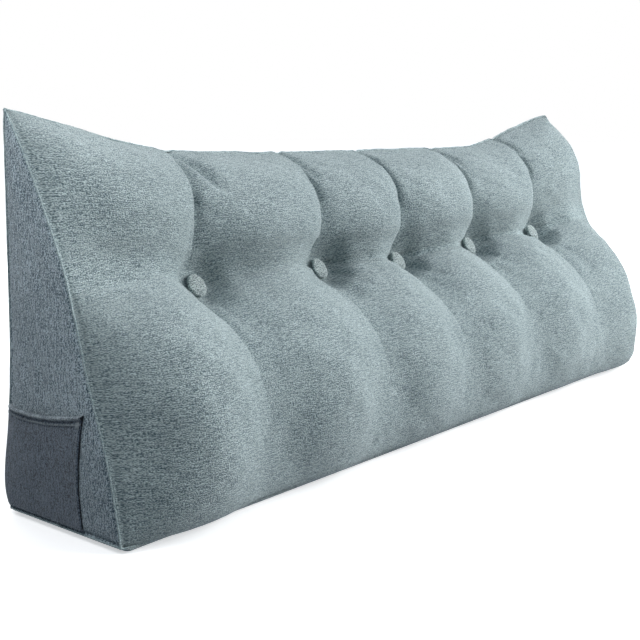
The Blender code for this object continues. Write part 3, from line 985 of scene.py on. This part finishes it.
def panel_surface(outline, y, z):
    """How far the left end panel stands out at (y, z), from its seam's radius there."""
    edge = outline[:, 1:] - np.array(CAP_CENTRE)
    angle = np.arctan2(edge[:, 1], edge[:, 0])
    order = np.argsort(angle)
    there = np.arctan2(z - CAP_CENTRE[1], y - CAP_CENTRE[0])
    reach = np.interp(there, angle[order], np.hypot(*edge.T)[order], period=math.tau)
    radius = np.clip(np.hypot(y - CAP_CENTRE[0], z - CAP_CENTRE[1]) / reach, 0.0, 1.0)
    return LENGTH / 2 + END_SWELL * (1.0 - radius**CAP_POWER)


def pocket_layers(outline, across, up, settings):
    """Inner and outer face of the pocket's cloth at the given places.

    The cloth lies on the panel and stands off a little at the mouth. The hem is a
    raised band with a rounded rim, pressed in above and below its row of stitches.
    """
    y, z = panel_place(outline, across, up)
    below = (1.0 - up) * POCKET_HEIGHT
    edge = (1.0 - across) * POCKET_WIDTH
    belly = np.sin(math.pi * across)
    slack = 0.0010 * belly * np.sin(math.pi * up) + 0.0020 * belly * np.exp(-below / 0.030)
    pucker = 0.00025 * np.sin(math.tau * across / 0.052) * np.exp(-below / 0.02)
    wave = 0.0005 * ripples(np.stack((0.0 * y, y, z), axis=-1), 61, 0.02, 0.09) * belly
    inner = POCKET_GAP + slack + 0.5 * wave
    band = 0.0009 * smooth((settings.hem - below) / 0.003)
    rim = 0.0025 * bell(below - 0.0023, 0.0023) * np.minimum(1.0, across / 0.06)
    line = below - settings.hem
    pressed = 0.0014 * bell(line + 0.0040, 0.0011) + 0.0009 * bell(line - 0.0014, 0.0011)
    pressed = pressed - 0.0008 * bell(line + 0.0008, 0.0009)
    turned = 0.0014 * bell(edge - 0.0022, 0.0020)
    fall = settings.cloth * (0.35 * np.exp(-edge / 0.0008) + 0.8 * np.exp(-below / 0.0006))
    outer = inner + settings.cloth + band + rim - pressed + pucker + turned - fall + 0.5 * wave
    outer = np.maximum(outer, inner + 0.0002)
    panel = panel_surface(outline, y, z)
    return [np.stack((-(panel + off), y, z), axis=-1) for off in (inner, outer)]


def threads(starts, ends):
    """Short stitches, one from each start to its end: an arch with round, thin ends.

    Along a stitch the height is a sine of the share, the radius nearly its square root.
    Returns points, faces and upright weave coordinates.
    """
    share = np.linspace(0.0, 1.0, THREAD_STEPS)
    along = ends - starts
    way = unit(along)
    lift = np.array((-1.0, 0.0, 0.0))
    up = unit(lift - (way @ lift)[:, None] * way)
    arch = np.sin(math.pi * share)
    middle = starts[:, None] + share[None, :, None] * along[:, None]
    middle = middle + (0.55 * THREAD_RADIUS * arch)[None, :, None] * up[:, None]
    size = THREAD_RADIUS * np.sqrt(0.04 + 0.96 * arch)
    ring = circles(up, np.cross(way, up), THREAD_SIDES)
    points = middle[:, :, None] + size[None, :, None, None] * ring[:, None]
    each = THREAD_STEPS * THREAD_SIDES
    shift = (each * np.arange(len(starts)))[:, None, None]
    quads = (grid_faces(THREAD_STEPS, THREAD_SIDES) + shift).reshape(-1, 4)
    lids = np.array((np.arange(THREAD_SIDES)[::-1], np.arange(each - THREAD_SIDES, each)))
    lids = (lids + shift).reshape(-1, THREAD_SIDES)
    corners = np.concatenate((quads.ravel(), lids.ravel()))
    flat = points.reshape(-1, 3)
    return flat, quads.tolist() + lids.tolist(), flat[corners][:, (1, 2)]


class BACKREST_OT_pocket(bpy.types.Operator):
    """Make the side pocket with its hem and stitches"""

    bl_idname = "backrest.make_pocket"
    bl_label = "Make pocket"

    def execute(self, context):
        settings = context.scene.backrest.pocket
        outline = cover_grid()[0]
        share = eased(np.linspace(0.0, 1.0, POCKET_ACROSS + 1))
        rise = np.sin(0.5 * math.pi * np.linspace(0.0, 1.0, POCKET_UP + 1))
        across, up = np.meshgrid(share, rise, indexing="ij")
        inner, outer = pocket_layers(outline, across, up, settings)
        rows = np.concatenate((outer, inner[:, ::-1]), axis=1)
        around = rows.shape[1]
        points = rows.reshape(-1, 3)
        faces = grid_faces(len(rows), around)[:, ::-1]
        ends = [list(range(around)), list(range(len(points) - around, len(points)))[::-1]]
        faces = faces.tolist() + ends
        middle = 0.5 * (inner + outer)
        one = np.linalg.norm(np.diff(middle, axis=0), axis=-1)[:, :-1]
        two = np.linalg.norm(np.diff(middle, axis=1), axis=-1)[:-1]
        weave = upright_weave(points, faces)
        light, dark = yarns(settings)
        cloth = woven_cloth("pocket_cloth", light, dark, 130.0, 700.0, 0.0020, 1.8, 0.0010)
        # Painted highlight: the pocket's yarns made paler, laid on the top of the hem's rim and on a
        # thin ridge above the stitches, where light from above falls
        highlight_tint = np.array((2.1, 1.9, 1.65))
        rim = woven_cloth("rim_painted_highlight", light * highlight_tint, dark * highlight_tint, 130.0, 700.0, 0.0020, 1.3, 0.0010)
        # Painted shadow: the yarns made nearly black, laid on the side face of the pocket's front edge,
        # where the crevice beside the panel is in shade
        shade = woven_cloth("crevice_painted_shadow", 0.12 * light, 0.12 * dark, 120.0, 560.0, 0.0022, 0.5, 0.0004)
        j = np.arange((len(rows) - 1) * around) % around
        below = (1.0 - np.sin(0.5 * math.pi * (j + 0.5) / POCKET_UP)) * POCKET_HEIGHT
        # Rows of the outer face that take the painted highlight: the top of the rim and the ridge just
        # above the stitches
        highlight_rows = (below < 0.0044) | (np.abs(below - settings.hem + 0.0009) < 0.0010)
        # The last face, at the pocket's front edge, takes the painted shadow
        kinds = np.append(np.where(highlight_rows & (j <= POCKET_UP), 1, 0), (0, 2))
        pocket = piece("side_pocket", points, faces, weave, (cloth, rim, shade), kinds, sharp=60.0)
        width = float(one.sum(axis=0).max())
        length = float(two.sum(axis=1).max())
        seam = self.stitches(outline, settings, width, length)
        for made in (pocket, seam):
            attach(made, "root")
        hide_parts("pocket")
        return {"FINISHED"}

    def stitches(self, outline, settings, width, length):
        """Row of stitches under the hem and a small bar at the mouth's front corner."""
        count = int(width / settings.stitch)
        places = (np.arange(count) + 0.5) / count
        bar = np.linspace(0.948, 0.985, 6)
        ends = []
        for half, bar_shift, bar_drop in ((-0.36, 0.0, 0.55), (0.36, 0.004, 1.5)):
            across = np.append(places + half / count, bar + bar_shift)
            drop = np.append(np.ones(count), np.full(len(bar), bar_drop))
            up = 1.0 - drop * settings.hem / POCKET_HEIGHT
            ends.append(pocket_layers(outline, across, up, settings)[1])
        points, faces, weave = threads(*ends)
        light, dark = yarns(settings)
        light, dark = light * (2.3, 2.0, 1.7), dark * (3.4, 3.0, 2.5)
        thread = woven_cloth("thread", light, dark, 900.0, 1800.0, 0.0008, 0.5, 0.0001)
        return piece("pocket_stitches", points, faces, weave, (thread,))


def soft_light(name, power, size, place, target):
    """Large square light at a place, turned to look at a target."""
    data = bpy.data.lights.new(name, "AREA")
    data.energy = power
    data.size = size
    lamp = placed(name, data)
    away = np.array(place) - np.array(target)
    flat = math.hypot(away[0], away[1])
    lamp.location = place
    lamp.rotation_euler = (math.atan2(flat, away[2]), 0.0, math.atan2(away[0], -away[1]))


def floor_finish(colour):
    """Pale matt floor with a faint mottle and light of its own, more of it far away."""
    material, start, shader = surface("floor_paint")
    place = start.node("ShaderNodeTexCoord", {}, {}, output=3)
    mottle = start.node("ShaderNodeTexNoise", {}, {"Vector": place, "Scale": 3.0})
    away = start.node("ShaderNodeVectorMath", {"operation": "LENGTH"}, {0: place}, output=1)
    glow = (away * 0.4 - 0.4).limited().colour(FLOOR_GLOW, WHITE)
    start.feed(shader, {
        "Base Color": mottle.colour(colour, 0.985 * np.array(colour)), "Emission Color": glow,
        "Roughness": 0.9, "Specular IOR Level": 0.1, "Emission Strength": 0.9,
    })
    return material


class BACKREST_OT_stage(bpy.types.Operator):
    """Make the floor, the studio light and the camera"""

    bl_idname = "backrest.make_stage"
    bl_label = "Make stage"

    def execute(self, context):
        settings = context.scene.backrest.stage
        scene = context.scene
        mesh = bpy.data.meshes.new("floor")
        corners = FLOOR_REACH * np.array(((-1, -1, 0), (1, -1, 0), (1, 1, 0), (-1, 1, 0)))
        mesh.from_pydata(corners + (0.0, 0.0, FLOOR_LEVEL), [], [(0, 1, 2, 3)])
        mesh.materials.append(floor_finish(settings.floor))
        floor = placed("floor", mesh)
        floor.visible_diffuse = False
        soft_light("key_light", settings.key, 2.0, (1.6, -2.4, 1.2), MIDDLE)
        soft_light("right_light", settings.right, 1.6, (2.6, -1.1, 1.3), MIDDLE)
        soft_light("top_light", settings.top, 2.0, (0.3, 0.2, 2.4), MIDDLE)
        soft_light("end_light", settings.end, 0.5, (-1.10, 0.05, 0.94), (-0.68, 0.05, 0.4))
        soft_light("back_light", settings.back, 1.8, (0.7, 2.8, 1.1), MIDDLE)
        world = bpy.data.worlds.new("studio")
        world.use_nodes = True
        scene.world = world
        start = Amount(world.node_tree)
        sky = world.node_tree.nodes["Background"]
        seen = start.node("ShaderNodeLightPath", {}, {})
        way = start.node("ShaderNodeTexCoord", {}, {}, output=0)
        height = start.node("ShaderNodeSeparateXYZ", {}, {0: way}, output=2)
        glow = height.maths("ABSOLUTE", height, 0.0) * settings.fill
        power = seen + (1.0 - seen) * glow
        start.feed(sky, {"Color": seen.colour(SKY_TINT, WHITE), "Strength": power})
        scene.view_settings.view_transform = "Standard"
        data = bpy.data.cameras.new("camera")
        data.sensor_width = 36.0
        data.lens = 61.878
        data.shift_y = -0.140625
        camera = placed("camera", data)
        camera.location = (-1.4596, -1.0523, 0.4856)
        camera.rotation_euler = (1.47859, 0.00418, -0.87033)
        scene.camera = camera
        return {"FINISHED"}


class BACKREST_PT_panel(bpy.types.Panel):
    """Buttons that make the backrest pillow"""

    bl_label = "Backrest pillow"
    bl_idname = "BACKREST_PT_panel"
    bl_space_type = "VIEW_3D"
    bl_region_type = "UI"
    bl_category = "Backrest"

    def draw(self, context):
        for operator in OPERATORS:
            self.layout.operator(operator.bl_idname)
        settings = context.scene.backrest
        for group in (settings.cover, settings.buttons, settings.pocket, settings.stage):
            box = self.layout.box()
            for name in group.bl_rna.properties.keys():
                if name not in ("rna_type", "name"):
                    box.prop(group, name)


SETTINGS = (CoverSettings, ButtonSettings, PocketSettings, StageSettings, BackrestSettings)
OPERATORS = (
    BACKREST_OT_cover, BACKREST_OT_seams, BACKREST_OT_buttons, BACKREST_OT_pocket, BACKREST_OT_stage,
)


def register():
    for kind in (*SETTINGS, *OPERATORS, BACKREST_PT_panel):
        bpy.utils.register_class(kind)
    bpy.types.Scene.backrest = PointerProperty(type=BackrestSettings)


def unregister():
    del bpy.types.Scene.backrest
    for kind in reversed((*SETTINGS, *OPERATORS, BACKREST_PT_panel)):
        bpy.utils.unregister_class(kind)


def main():
    """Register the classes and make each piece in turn."""
    register()
    bpy.ops.backrest.make_cover()
    bpy.ops.backrest.make_seams()
    bpy.ops.backrest.make_buttons()
    bpy.ops.backrest.make_pocket()
    bpy.ops.backrest.make_stage()


if __name__ == "__main__":
    main()
